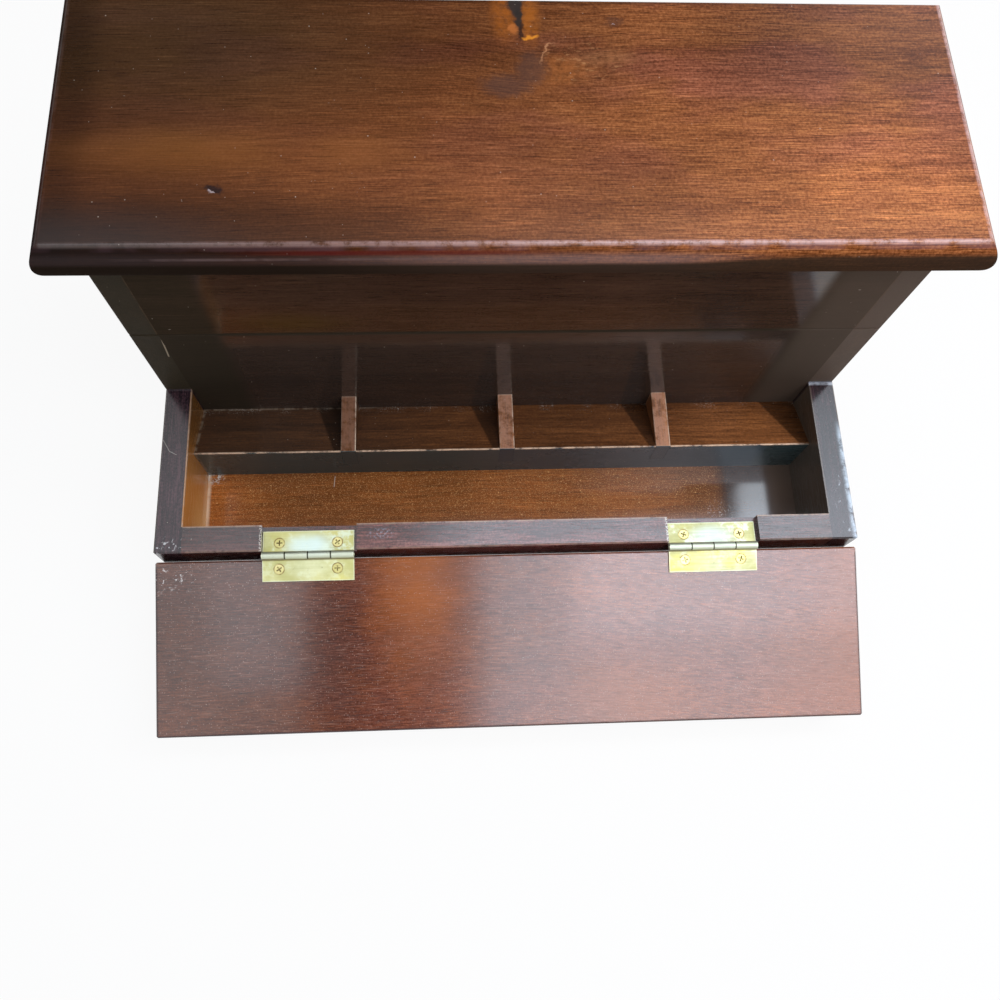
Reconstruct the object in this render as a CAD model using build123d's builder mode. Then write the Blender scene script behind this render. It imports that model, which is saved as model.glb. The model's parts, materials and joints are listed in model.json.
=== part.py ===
from build123d import *
import os
from math import asin, atan2, degrees, hypot

# Desk organizer in stained hardwood: a stepped case with a lift lid hinged at its back and,
# in front of it, a low compartment box closed by a flap on two brass butt hinges.
# Millimetres. Origin: centre of the underside of the case. +X right, +Y back, +Z up.

# ---- Driving dimensions: case and compartment box ----
case_width = 290.0            # outside, over the two side boards
ledge_depth = 72.0            # front of the compartment box to the front of the tall case
case_depth = 86.0             # tall case, front to back
ledge_height = 40.0           # top of the compartment box
seam_height = 87.0            # top edge of the tall case, where the lid parts from it
side_thickness = 11.0
rail_thickness = 11.0         # front board of the compartment box
panel_thickness = 11.0        # front and back boards of the tall case and of the lid frame
base_thickness = 6.0
board_ease = 0.6              # small bevel on the outside arrises and along the seam

# ---- Driving dimensions: tray of small compartments ----
tray_setback = 46.0           # front of the box to the face of the tray block
tray_drop = 8.5               # ledge top down to the tray's front arris
tray_fall = 11.5              # how far the tray floor falls towards the back
divider_count = 3
divider_thickness = 6.5
divider_height = 15.0
divider_fit = 0.05            # clearance on each side of a divider in its slot
tray_ease = 0.4               # worn front arris of the tray and of its dividers

# ---- Driving dimensions: lid ----
lid_frame_height = 48.0
lid_seam_gap = 0.1            # daylight at the seam with the lid shut
top_thickness = 18.0
top_overhang = 9.5
nose_radius = 10.0            # rounded edge of the top board, tangent to its underside
top_arris_ease = 0.7

# ---- Driving dimensions: flap ----
flap_depth = 70.4             # hinge edge to free edge
flap_thickness = 11.0
flap_seat_gap = 0.1           # daylight between the shut flap and the ledge
stop_gap = 0.1                # daylight between the hanging flap and the box front

# ---- Driving dimensions: butt hinges ----
hinge_length = 37.0
leaf_width = 10.5             # pin centre to the leaf's free edge
leaf_thickness = 0.9
knuckle_diameter = 3.2
knuckle_count = 4
knuckle_gap = 0.12            # end play between neighbouring knuckles
pin_diameter = 1.3
pin_clearance = 0.05          # radial, pin in its knuckles
pin_overrun = 0.3             # pin showing past each end of the hinge
hinge_standoff = 0.05         # knuckle to the board edges on either side
notch_clearance = 0.7         # notch past each end of a leaf
notch_slip = 0.5              # the leaves sit this far off the middle of their notches
flap_hinge_inset = 61.5       # end of the case to the middle of a hinge
lid_hinge_inset = 61.5

# ---- Driving dimensions: screws ----
screw_spacing = 23.5
screw_line = 5.5              # pin centre to the line of screws
screw_head_diameter = 4.5
screw_length = 8.0
screw_fit = 0.05              # clearance round a screw in wood and brass
recess_span = 2.4
recess_width = 0.55
recess_depth = 0.7
recess_turn = 35.0            # each cross recess stands this much round from the one before

# ---- Places that follow ----
front_y = -(ledge_depth + case_depth) / 2
back_y = front_y + ledge_depth + case_depth
case_front_y = front_y + ledge_depth
tray_front_y = front_y + tray_setback
inner_width = case_width - 2 * side_thickness
tray_arris_z = ledge_height - tray_drop
lid_bottom_z = seam_height + lid_seam_gap
top_bottom_z = lid_bottom_z + lid_frame_height
divider_pitch = (inner_width + divider_thickness) / (divider_count + 1)

knuckle_radius = knuckle_diameter / 2
pin_to_board = knuckle_radius + hinge_standoff

# A 90 degree countersunk head exactly fills the leaf, so its neck follows from the leaf.
screw_neck_diameter = screw_head_diameter - 2 * leaf_thickness
flap_hinge_offset = case_width / 2 - flap_hinge_inset
lid_hinge_offset = case_width / 2 - lid_hinge_inset

# The hanging flap rests with the lower corner of its hinge edge on the front of the box.
corner_down = flap_thickness + knuckle_radius - board_ease
corner_reach = hypot(pin_to_board, corner_down)
flap_droop = degrees(atan2(pin_to_board, corner_down) + asin((pin_to_board - stop_gap) / corner_reach))

flap_pin_z = ledge_height + flap_seat_gap - knuckle_radius
lid_pin_z = lid_bottom_z - knuckle_radius

# Each hinge has one frame per leaf: X along the pin, Y from the pin out over the leaf,
# Z out of the face that carries the screw heads. The pin's middle is the origin.
flap_pin_y = front_y - pin_to_board
lid_pin_y = back_y + pin_to_board


def rail_leaf_frame(offset):
    return Plane(origin=(offset, flap_pin_y, flap_pin_z), x_dir=(1, 0, 0), z_dir=(0, 0, 1))


def flap_frame(offset):
    open_flat = Plane(origin=(offset, flap_pin_y, flap_pin_z), x_dir=(-1, 0, 0), z_dir=(0, 0, 1))
    return open_flat.rotated((flap_droop, 0, 0))


def case_leaf_frame(offset):
    return Plane(origin=(offset, lid_pin_y, lid_pin_z), x_dir=(-1, 0, 0), z_dir=(0, 0, 1))


def lid_leaf_frame(offset):
    return Plane(origin=(offset, lid_pin_y, lid_pin_z), x_dir=(1, 0, 0), z_dir=(0, 0, -1))


def seat_planes(frame):
    """Screw seats of one leaf: origin at the head's centre, Z out of the leaf."""
    face = frame.offset(leaf_thickness - knuckle_radius)
    return [
        Plane(face.from_local_coords((side * screw_spacing / 2, screw_line, 0)), face.x_dir, face.z_dir)
        for side in (-1, 1)
    ]


def screw_profile(seat, clearance):
    """Half outline of a countersunk wood screw, from the face of its head to its end."""
    neck_radius = screw_neck_diameter / 2 + clearance
    with BuildSketch(Plane(seat.origin, x_dir=seat.x_dir, z_dir=-seat.y_dir)) as profile:
        with BuildLine():
            Polyline(
                (0, 0),
                (neck_radius + leaf_thickness, 0),
                (neck_radius, -leaf_thickness),
                (neck_radius, -screw_length - clearance),
                (0, -screw_length - clearance),
                close=True,
            )
        make_face()
    return profile.sketch


def cut_screw_seats(frames):
    """Countersunk holes for the screws of several leaves, cut into the open part."""
    for frame in frames:
        for seat in seat_planes(frame):
            revolve(screw_profile(seat, screw_fit), axis=Axis(seat.origin, seat.z_dir), mode=Mode.SUBTRACT)


def cut_recesses(seats):
    """Cross recesses in the heads of the screws in several seats."""
    for turn, seat in enumerate(seats):
        with BuildSketch(seat) as cross:
            Rectangle(recess_span, recess_width, rotation=turn * recess_turn)
            Rectangle(recess_width, recess_span, rotation=turn * recess_turn)
        extrude(cross.sketch, amount=-recess_depth, mode=Mode.SUBTRACT)


def cut_hinge_notches(frames, board_thickness):
    """Notches right through a board's edge, deep enough to take the whole folded hinge."""
    for frame in frames:
        with BuildSketch(frame.offset(-knuckle_radius)) as notch:
            with Locations((notch_slip, pin_to_board + board_thickness / 2)):
                Rectangle(hinge_length + 2 * notch_clearance, board_thickness + 2 * board_ease)
        extrude(notch.sketch, amount=knuckle_diameter + board_ease, mode=Mode.SUBTRACT)


def edge_at(piece, y, z):
    """The edge along X of the open part that lies nearest to one place across it."""
    return piece.edges().filter_by(Axis.X).sort_by_distance((0, y, z))[0]


def finish(piece, label):
    piece.part.label = label
    export_step(piece.part, f"parts/{label}.step")


os.makedirs("parts", exist_ok=True)

rail_frames = [rail_leaf_frame(side * flap_hinge_offset) for side in (-1, 1)]
flap_frames = [flap_frame(side * flap_hinge_offset) for side in (-1, 1)]
case_frames = [case_leaf_frame(side * lid_hinge_offset) for side in (-1, 1)]
lid_frames = [lid_leaf_frame(side * lid_hinge_offset) for side in (-1, 1)]
side_names = ("left", "right")

# ---- Case: stepped side boards, each one board from the flap end to the back ----
for side, side_name in zip((-1, 1), side_names):
    inner_x = side * inner_width / 2
    with BuildPart() as side_board:
        with BuildSketch(Plane.YZ.offset(inner_x)):
            with BuildLine():
                Polyline(
                    (front_y, 0),
                    (back_y, 0),
                    (back_y, seam_height),
                    (case_front_y, seam_height),
                    (case_front_y, ledge_height),
                    (front_y, ledge_height),
                    close=True,
                )
            make_face()
        extrude(amount=side * side_thickness)
        outer_face = side_board.faces().sort_by(Axis.X)[-1 if side > 0 else 0]
        arrises = [e for e in outer_face.edges() if e.center().Z > board_ease]
        for y, z in [(front_y, ledge_height), (case_front_y, seam_height), (back_y, seam_height)]:
            arrises.append(edge_at(side_board, y, z))
        chamfer(arrises, length=board_ease)
    finish(side_board, f"side_{side_name}")

# ---- Case: front board of the compartment box, notched for the two flap hinges ----
with BuildPart() as front_rail:
    with BuildSketch(Plane.XY):
        with Locations((0, front_y + rail_thickness / 2)):
            Rectangle(inner_width, rail_thickness)
    extrude(amount=ledge_height)
    chamfer(edge_at(front_rail, front_y, ledge_height), length=board_ease)
    cut_hinge_notches(rail_frames, rail_thickness)
    cut_screw_seats(rail_frames)
finish(front_rail, "front_rail")

# ---- Case: bottom board, let in between the four walls ----
with BuildPart() as base_board:
    with BuildSketch(Plane.XY):
        with Locations((0, (front_y + rail_thickness + back_y - panel_thickness) / 2)):
            Rectangle(inner_width, ledge_depth + case_depth - rail_thickness - panel_thickness)
    extrude(amount=base_thickness)
finish(base_board, "base_board")

# ---- Case: front board of the tall case, which also backs the small compartments ----
with BuildPart() as case_front:
    with BuildSketch(Plane.XY.offset(base_thickness)):
        with Locations((0, case_front_y + panel_thickness / 2)):
            Rectangle(inner_width, panel_thickness)
    extrude(amount=seam_height - base_thickness)
    chamfer(edge_at(case_front, case_front_y, seam_height), length=board_ease)
finish(case_front, "case_front")

# ---- Case: back board, notched for the two lid hinges ----
with BuildPart() as case_back:
    with BuildSketch(Plane.XY):
        with Locations((0, back_y - panel_thickness / 2)):
            Rectangle(inner_width, panel_thickness)
    extrude(amount=seam_height)
    chamfer(edge_at(case_back, back_y, seam_height), length=board_ease)
    cut_hinge_notches(case_frames, panel_thickness)
finish(case_back, "case_back")

# ---- Tray: a wedge block whose floor falls to the back, slotted for its dividers ----
divider_places = [(i - (divider_count - 1) / 2) * divider_pitch for i in range(divider_count)]
tray_depth = case_front_y - tray_front_y

with BuildPart() as tray_block:
    with BuildSketch(Plane.YZ.offset(-inner_width / 2)):
        with BuildLine():
            Polyline(
                (tray_front_y, base_thickness),
                (case_front_y, base_thickness),
                (case_front_y, tray_arris_z - tray_fall),
                (tray_front_y, tray_arris_z),
                close=True,
            )
        make_face()
    extrude(amount=inner_width)
    fillet(edge_at(tray_block, tray_front_y, tray_arris_z), radius=tray_ease)
    with BuildSketch(Plane.XY.offset(tray_arris_z - divider_height)):
        with Locations(*[(x, tray_front_y + tray_depth / 2) for x in divider_places]):
            Rectangle(divider_thickness + 2 * divider_fit, tray_depth)
    extrude(amount=divider_height, mode=Mode.SUBTRACT)
finish(tray_block, "tray_block")

for i, place in enumerate(divider_places):
    with BuildPart() as divider:
        with BuildSketch(Plane.XY.offset(tray_arris_z - divider_height)):
            with Locations((place, tray_front_y + tray_depth / 2)):
                Rectangle(divider_thickness, tray_depth)
        extrude(amount=divider_height)
        top_edges = divider.faces().sort_by(Axis.Z)[-1].edges().sort_by(Axis.Y)
        fillet(top_edges[:-1], radius=tray_ease)
    finish(divider, f"divider_{i + 1}")

# ---- Lid: a frame of four boards under an overhanging top ----
for side, side_name in zip((-1, 1), side_names):
    with BuildPart() as lid_side:
        with BuildSketch(Plane.YZ.offset(side * inner_width / 2)):
            with Locations(((case_front_y + back_y) / 2, lid_bottom_z + lid_frame_height / 2)):
                Rectangle(case_depth, lid_frame_height)
        extrude(amount=side * side_thickness)
        outer_face = lid_side.faces().sort_by(Axis.X)[-1 if side > 0 else 0]
        arrises = [e for e in outer_face.edges() if e.center().Z < top_bottom_z - board_ease]
        for y in (case_front_y, back_y):
            arrises.append(edge_at(lid_side, y, lid_bottom_z))
        chamfer(arrises, length=board_ease)
    finish(lid_side, f"lid_side_{side_name}")

with BuildPart() as lid_front:
    with BuildSketch(Plane.XY.offset(lid_bottom_z)):
        with Locations((0, case_front_y + panel_thickness / 2)):
            Rectangle(inner_width, panel_thickness)
    extrude(amount=lid_frame_height)
    chamfer(edge_at(lid_front, case_front_y, lid_bottom_z), length=board_ease)
finish(lid_front, "lid_front")

with BuildPart() as lid_back:
    with BuildSketch(Plane.XY.offset(lid_bottom_z)):
        with Locations((0, back_y - panel_thickness / 2)):
            Rectangle(inner_width, panel_thickness)
    extrude(amount=lid_frame_height)
    chamfer(edge_at(lid_back, back_y, lid_bottom_z), length=board_ease)
finish(lid_back, "lid_back")

# The top's nose is one round, cut off flat by the board's face, and mitred at the corners.
top_middle_y = (case_front_y + back_y) / 2


def nosed_profile(plane, span):
    """Cross-section of the top board: a full round at both ends under a flat face."""
    with BuildSketch(plane) as profile:
        with Locations((0, nose_radius)):
            SlotOverall(span, 2 * nose_radius)
        with Locations((0, top_thickness / 2)):
            Rectangle(span, top_thickness, mode=Mode.INTERSECT)
    return profile.sketch


top_width = case_width + 2 * top_overhang
top_depth = case_depth + 2 * top_overhang
top_origin = (0, top_middle_y, top_bottom_z)
with BuildPart() as lid_top:
    lengthwise = nosed_profile(Plane(top_origin, x_dir=(0, 1, 0), z_dir=(1, 0, 0)), top_depth)
    crosswise = nosed_profile(Plane(top_origin, x_dir=(1, 0, 0), z_dir=(0, -1, 0)), top_width)
    extrude(lengthwise, amount=top_width / 2, both=True)
    extrude(crosswise, amount=top_depth / 2, both=True, mode=Mode.INTERSECT)
    fillet(lid_top.faces().sort_by(Axis.Z)[-1].edges(), radius=top_arris_ease)
finish(lid_top, "lid_top")

# ---- Flap: one board, shown hanging open at its stop ----
flap_middle = flap_frame(0)
with BuildPart() as flap:
    with BuildSketch(flap_middle.offset(-knuckle_radius)):
        with Locations((0, pin_to_board + flap_depth / 2)):
            Rectangle(case_width, flap_depth)
    extrude(amount=-flap_thickness)
    chamfer(flap.edges(), length=board_ease)
    cut_screw_seats(flap_frames)
finish(flap, "flap")


# ---- Butt hinges ----
def build_leaf(frame, knuckles, label, joined_screws=False):
    """One leaf: a plate rolled round the pin, keeping only the knuckles named by index.
    Where its screws are joined to it, only their cross recesses are cut."""
    across = Plane(frame.origin, x_dir=frame.y_dir, z_dir=frame.x_dir)
    pitch = hinge_length / knuckle_count
    with BuildPart() as leaf:
        with BuildSketch(across):
            with Locations((leaf_width / 2, (leaf_thickness - knuckle_diameter) / 2)):
                Rectangle(leaf_width, leaf_thickness)
            Circle(knuckle_radius)
            Circle(pin_diameter / 2 + pin_clearance, mode=Mode.SUBTRACT)
        extrude(amount=hinge_length / 2, both=True)
        gaps = [i for i in range(knuckle_count) if i not in knuckles]
        with BuildSketch(frame.offset(-knuckle_radius)):
            with Locations(*[((i + 0.5) * pitch - hinge_length / 2, 0) for i in gaps]):
                Rectangle(pitch + knuckle_gap, 2 * (knuckle_radius + hinge_standoff))
        extrude(amount=knuckle_diameter, mode=Mode.SUBTRACT)
        if joined_screws:
            cut_recesses(seat_planes(frame))
        else:
            cut_screw_seats([frame])
    finish(leaf, label)


def build_pin(frame, label):
    across = Plane(frame.origin, x_dir=frame.y_dir, z_dir=frame.x_dir)
    with BuildPart() as pin:
        with BuildSketch(across):
            Circle(pin_diameter / 2)
        extrude(amount=hinge_length / 2 + pin_overrun, both=True)
    finish(pin, label)


# The two leaves of a hinge face opposite ways along the pin, so both keep their even knuckles.
# On the lid's hinges, out of sight at the back, the flush screws are one piece with their leaf.
kept_knuckles = range(0, knuckle_count, 2)
for i, side_name in enumerate(side_names):
    build_leaf(rail_frames[i], kept_knuckles, f"rail_hinge_leaf_{side_name}")
    build_leaf(flap_frames[i], kept_knuckles, f"flap_hinge_leaf_{side_name}")
    build_pin(rail_frames[i], f"flap_hinge_pin_{side_name}")
    build_leaf(case_frames[i], kept_knuckles, f"case_hinge_leaf_{side_name}", joined_screws=True)
    build_leaf(lid_frames[i], kept_knuckles, f"lid_hinge_leaf_{side_name}", joined_screws=True)
    build_pin(case_frames[i], f"lid_hinge_pin_{side_name}")


# ---- Countersunk wood screws of the flap hinges, two to a leaf ----
def build_screws(frames, label):
    seats = [seat for frame in frames for seat in seat_planes(frame)]
    with BuildPart() as screws:
        for seat in seats:
            revolve(screw_profile(seat, 0), axis=Axis(seat.origin, seat.z_dir))
        cut_recesses(seats)
    finish(screws, label)


build_screws(rail_frames, "rail_hinge_screws")
build_screws(flap_frames, "flap_hinge_screws")
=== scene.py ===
import json
import math

import bpy
from mathutils import Matrix, Vector


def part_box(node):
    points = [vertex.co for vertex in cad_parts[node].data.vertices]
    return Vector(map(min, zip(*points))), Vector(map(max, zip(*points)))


# A stationery box in stained, varnished hardwood, with a lift lid at the back, a row of small
# compartments and a pen trough in front, and a flap on brass butt hinges. Metres, +Z up, -Y front.

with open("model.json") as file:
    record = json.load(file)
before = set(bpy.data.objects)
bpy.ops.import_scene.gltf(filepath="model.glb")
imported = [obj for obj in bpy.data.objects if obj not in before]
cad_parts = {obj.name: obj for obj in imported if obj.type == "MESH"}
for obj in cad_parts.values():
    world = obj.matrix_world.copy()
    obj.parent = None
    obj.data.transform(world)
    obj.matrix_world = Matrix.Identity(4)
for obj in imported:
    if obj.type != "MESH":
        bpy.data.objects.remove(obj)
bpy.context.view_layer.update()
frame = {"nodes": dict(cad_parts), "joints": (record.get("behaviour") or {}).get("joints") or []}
scene = bpy.context.scene
nodes = frame["nodes"]

# ---- Places that the boards share, read from the frame. Other marks are placed in the frame's own metres. ----
RAIL_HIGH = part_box("front_rail")[1]
TRAY_LOW, TRAY_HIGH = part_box("tray_block")
TOP_LOW, TOP_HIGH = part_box("lid_top")
CASE_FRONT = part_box("case_front")[0].y
INNER_X = RAIL_HIGH.x                  # inner faces of the two side boards
OUTER_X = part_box("side_right")[1].x
LEDGE_Z = RAIL_HIGH.z
FLAP_JOINT = next(j for j in frame["joints"] if j["name"] == "flap_hinge")
FLAP_DROOP = math.radians(FLAP_JOINT["range_deg"][1] - 180)
FLAP_PIN = Vector(FLAP_JOINT["pos_m"])

# ---- Camera, fitted to the photograph's outlines ----
SENSOR = 36.0                 # mm, square picture
LENS = 32.59                  # mm
SHIFT = (0.0064, 0.0179)
CAMERA_PLACE = Vector((-0.02804, -0.17970, 0.39636))
CAMERA_TURN = (0.3065, -0.0547, -0.0205)   # about X, Y and Z, in radians


def make_camera():
    """The photograph's camera."""
    data = bpy.data.cameras.new("camera")
    data.sensor_width = SENSOR
    data.lens = LENS
    data.shift_x, data.shift_y = SHIFT
    data.clip_start, data.clip_end = 0.01, 20.0
    camera = bpy.data.objects.new("camera", data)
    turn_x, turn_y, turn_z = (Matrix.Rotation(a, 4, axis) for a, axis in zip(CAMERA_TURN, "XYZ"))
    camera.matrix_world = Matrix.Translation(CAMERA_PLACE) @ turn_x @ turn_y @ turn_z
    scene.collection.objects.link(camera)
    scene.camera = camera


# ---- Node graphs ----
class Graph:
    """The node tree of a material or a world, with short calls for the nodes that these ones use."""

    def __init__(self, owner):
        self.owner = owner
        owner.use_nodes = True
        self.tree = owner.node_tree
        self.tree.nodes.clear()
        self.place = self.node("TexCoord").outputs["Object"]

    def node(self, kind, inputs=None, **settings):
        made = self.tree.nodes.new("ShaderNode" + kind)
        for name, value in settings.items():
            setattr(made, name, value)
        for key, value in (inputs or {}).items():
            self.feed(made.inputs[key], value)
        return made

    def feed(self, socket, value):
        if isinstance(value, bpy.types.NodeSocket):
            self.tree.links.new(value, socket)
        else:
            socket.default_value = value

    def math(self, operation, *values):
        return self.node("Math", dict(enumerate(values)), operation=operation).outputs[0]

    def product(self, first, *others):
        for value in others:
            first = self.math("MULTIPLY", first, value)
        return first

    def add(self, base, value, amount=1.0):
        """base plus amount times value."""
        return self.math("MULTIPLY_ADD", value, amount, base)

    def axes(self, vector):
        return self.node("SeparateXYZ", {0: vector}).outputs

    def join(self, x, y, z):
        return self.node("CombineXYZ", {0: x, 1: y, 2: z}).outputs[0]

    def shift(self, vector, offset):
        return self.node("VectorMath", {0: vector, 1: offset}, operation="ADD").outputs[0]

    def stretch(self, vector, factors):
        return self.node("VectorMath", {0: vector, 1: factors}, operation="MULTIPLY").outputs[0]

    def noise(self, vector, scale, detail=2.0, roughness=0.5):
        inputs = {"Vector": vector, "Scale": scale, "Detail": detail, "Roughness": roughness}
        return self.node("TexNoise", inputs).outputs[0]

    def smooth(self, value, low, high, out_low=0.0, out_high=1.0):
        """Smooth step from out_low at low to out_high at high."""
        inputs = {0: value, 1: low, 2: high, 3: out_low, 4: out_high}
        return self.node("MapRange", inputs, interpolation_type="SMOOTHSTEP").outputs[0]

    def band(self, value, middle, half):
        """1 at a value, falling to 0 at half a width either side of it."""
        off = self.math("ABSOLUTE", self.math("SUBTRACT", value, middle))
        return self.smooth(off, 0.3 * half, half, 1.0, 0.0)

    def ramp(self, value, *stops):
        made = self.node("ValToRGB", {0: value})
        elements = made.color_ramp.elements
        while len(elements) < len(stops):
            elements.new(0.5)
        for element, (position, colour) in zip(elements, stops):
            element.position = position
            element.color = (*colour, 1.0)
        return made.outputs[0]

    def mix(self, factor, a, b, blend="MIX"):
        """Colours a and b, blended by factor."""
        made = self.node("Mix", data_type="RGBA", blend_type=blend)
        for socket, value in ((made.inputs[0], factor), (made.inputs[6], a), (made.inputs[7], b)):
            if isinstance(value, tuple):
                value = (*value, 1.0)
            self.feed(socket, value)
        return made.outputs[2]

    def bump(self, height, strength, distance):
        return self.node("Bump", {"Height": height, "Strength": strength, "Distance": distance}).outputs[0]

    def length(self, vector):
        return self.node("VectorMath", {0: vector}, operation="LENGTH").outputs["Value"]

    def reach(self, place, halves, origin=None):
        """Distance from a place, in ellipsoids: 1 on the one with these half axes."""
        local = self.shift(origin or self.place, tuple(-c for c in place))
        return self.length(self.stretch(local, tuple(1 / h for h in halves)))

    def near(self, place, halves, soft=0.5, origin=None):
        """1 inside an ellipsoid round a place, falling softly to 0 outside it."""
        return self.smooth(self.reach(place, halves, origin), 1 - soft, 1 + soft, 1.0, 0.0)

    def warped(self, scale, amount):
        """The place, pushed about by noise, so that marks drawn there have ragged outlines."""
        push = self.node("TexNoise", {"Vector": self.place, "Scale": scale, "Detail": 3.0}).outputs["Color"]
        centred = self.shift(push, (-0.5, -0.5, -0.5))
        return self.node("VectorMath", {0: self.place, 1: self.stretch(centred, (amount,) * 3)},
                         operation="ADD").outputs[0]

    def stroke(self, start, end, width):
        """1 along a thin straight mark between two places."""
        start, end = Vector(start), Vector(end)
        run = (end - start).normalized()
        local = self.shift(self.place, tuple(-(start + end) / 2))
        along = self.node("VectorMath", {0: local, 1: tuple(run)}, operation="DOT_PRODUCT").outputs["Value"]
        off = self.node("VectorMath", {0: local, 1: tuple(run)}, operation="CROSS_PRODUCT").outputs[0]
        half = (end - start).length / 2
        inside = self.smooth(self.math("ABSOLUTE", along), half - width, half + width, 1.0, 0.0)
        return self.product(self.smooth(self.length(off), 0.3 * width, width, 1.0, 0.0), inside)

    def specks(self, scale, size, share, seed, stretch=(1.0, 1.0, 1.0)):
        """Small dots, one in a share of the cells of a grid with scale cells to the metre."""
        place = self.stretch(self.shift(self.place, (seed, 0.3 * seed, 0.7 * seed)), stretch)
        cells = self.node("TexVoronoi", {"Vector": place, "Scale": scale}).outputs
        chosen = self.math("GREATER_THAN", self.axes(cells["Color"])[0], 1 - share)
        dot = self.smooth(cells["Distance"], 0.5 * size * scale, size * scale, 1.0, 0.0)
        return self.product(dot, chosen)

    def finish(self, shader):
        self.node("OutputMaterial", {"Surface": shader})
        return self.owner


# ---- Wood ----
class Board(Graph):
    """A stained board under varnish: grain, pores and uneven stain, then the marks that its methods add.

    grain is the axis that the fibres follow, and tones are the stain's dark, middle and pale colours. streak, fibre
    and contrast weigh the coarse, middle and fine figure. bend(board) moves the figure across the grain, gain(board)
    scales all of it from place to place, and fine above 1 makes its smallest marks smaller.
    """

    ORDER = {"X": (0, 1, 2), "Y": (1, 0, 2)}    # which axes run along, across and deep
    TONE_STOPS = (0.20, 0.52, 0.84)
    made = 0

    def __init__(self, name, grain, tones, roughness=0.3, streak=1.0, contrast=1.3, fibre=1.3, bend=None, gain=None,
                 fine=1.0):
        super().__init__(bpy.data.materials.new("wood_" + name))
        self.name = name
        Board.made += 1
        self.seed = (0.37 * Board.made, 0.53 * Board.made, 0.71 * Board.made)
        self.low, self.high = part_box(name)
        self.x, self.y, self.z = self.axes(self.place)
        parts = self.axes(self.shift(self.place, self.seed))
        along, across, deep = (parts[i] for i in self.ORDER[grain])
        drift = self.noise(self.join(along, across, deep), 3.0, 2.0)
        across = self.add(across, self.math("SUBTRACT", drift, 0.5), 0.010)
        if bend:
            across = self.add(across, bend(self))
        lie = self.join(along, across, deep)
        streaks = self.noise(self.stretch(lie, (3.0, 90.0, 90.0)), 1.0, 3.0, 0.6)
        self.fibres = self.noise(self.stretch(lie, (30.0, 560.0, 560.0)), 1.0, 4.0, 0.65)
        hairs = self.noise(self.stretch(lie, (90.0 * fine, 2600.0, 2600.0)), 1.0, 3.0, 0.7)
        lines = self.noise(self.stretch(lie, (48.0 * fine, 1900.0, 1900.0)), 1.0, 1.0, 0.5)
        flecks = self.noise(self.stretch(lie, (110.0 * fine, 3000.0, 3000.0)), 1.0, 1.0, 0.4)
        mottle = self.noise(self.shift(self.place, self.seed), 950.0 * fine, 2.0, 0.7)
        tone = 0.0
        for layer, amount in ((streaks, 0.65 * streak), (self.fibres, 0.55 * fibre), (hairs, 0.70 * contrast),
                              (mottle, 0.45 * contrast)):
            tone = self.add(tone, self.math("SUBTRACT", layer, 0.5), amount)
        tone = self.add(0.5, tone, gain(self) if gain else 1.0)
        self.pores = self.smooth(flecks, 0.60, 0.70)
        self.colour = self.ramp(tone, *zip(self.TONE_STOPS, tones))
        self.shade_where(self.pores, 0.62)
        self.shade(self.smooth(lines, 0.60, 0.74, 1.0, 1.40))
        blotch = self.noise(self.shift(self.place, self.seed), 16.0, 4.0, 0.6)
        self.shade(self.smooth(blotch, 0.3, 0.7, 0.84, 1.14))
        self.smears = self.noise(self.shift(self.place, self.seed), 28.0, 5.0, 0.6)
        self.roughness = self.smooth(self.smears, 0.25, 0.75, 0.85 * roughness, 1.2 * roughness)
        self.roughness = self.add(self.roughness, self.pores, 0.08)
        self.height = self.add(self.fibres, self.pores, -0.8)

    def shade(self, factor):
        """Lighten or darken the stain by a factor."""
        self.colour = self.mix(1.0, self.colour, self.join(factor, factor, factor), "MULTIPLY")

    def shade_where(self, mask, factor):
        """Shade by a factor where the mask is 1."""
        self.shade(self.smooth(mask, 0.0, 1.0, 1.0, factor))

    def tint(self, mask, factors):
        """Multiply the stain's red, green and blue where the mask is 1."""
        self.colour = self.mix(mask, self.colour, factors, "MULTIPLY")

    def paint(self, mask, colour, amount=1.0):
        self.colour = self.mix(self.product(mask, amount), self.colour, colour)

    def unless(self, mask, high=1.0, low=0.0):
        """high where the mask is 0 and low where it is 1."""
        return self.smooth(mask, 0.0, 1.0, high, low)

    def worn(self, mask, colour, amount):
        """Wear through the varnish: paler, rougher wood, broken up along its length."""
        ragged = self.smooth(self.noise(self.place, 240.0, 5.0, 0.7), 0.32, 0.58)
        mask = self.product(mask, ragged)
        self.paint(mask, colour, amount)
        self.roughness = self.add(self.roughness, mask, 0.15)

    def wear_edges(self, colour, amount, width=0.0010, mask=1.0):
        self.worn(self.product(self.rim(width), mask), colour, amount)

    def rim(self, width, place=None, low=None, high=None):
        """1 along the twelve edges of the board's box, falling to 0 at a width from them."""
        low, high = low or self.low, high or self.high
        middle, halves = (low + high) / 2, (high - low) / 2
        local = self.shift(place or self.place, tuple(-middle))
        size = self.node("VectorMath", {0: local}, operation="ABSOLUTE").outputs[0]
        x, y, z = self.axes(self.node("VectorMath", {0: tuple(halves), 1: size}, operation="SUBTRACT").outputs[0])
        second = self.math("MAXIMUM", self.math("MINIMUM", x, y), self.math("MINIMUM", self.math("MAXIMUM", x, y), z))
        return self.smooth(second, 0.2 * width, width, 1.0, 0.0)

    def dust(self, share, amount=0.6):
        """Pale specks of dust and short hairs of lint."""
        self.paint(self.specks(400.0, 0.00028, share, 1.3), DUST, amount)
        self.paint(self.specks(900.0, 0.00020, 0.25 * share, 4.1), DUST, 0.7 * amount)
        self.paint(self.specks(260.0, 0.00022, 0.5 * share, 7.7, (0.35, 1.6, 1.0)), DUST, amount)

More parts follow.
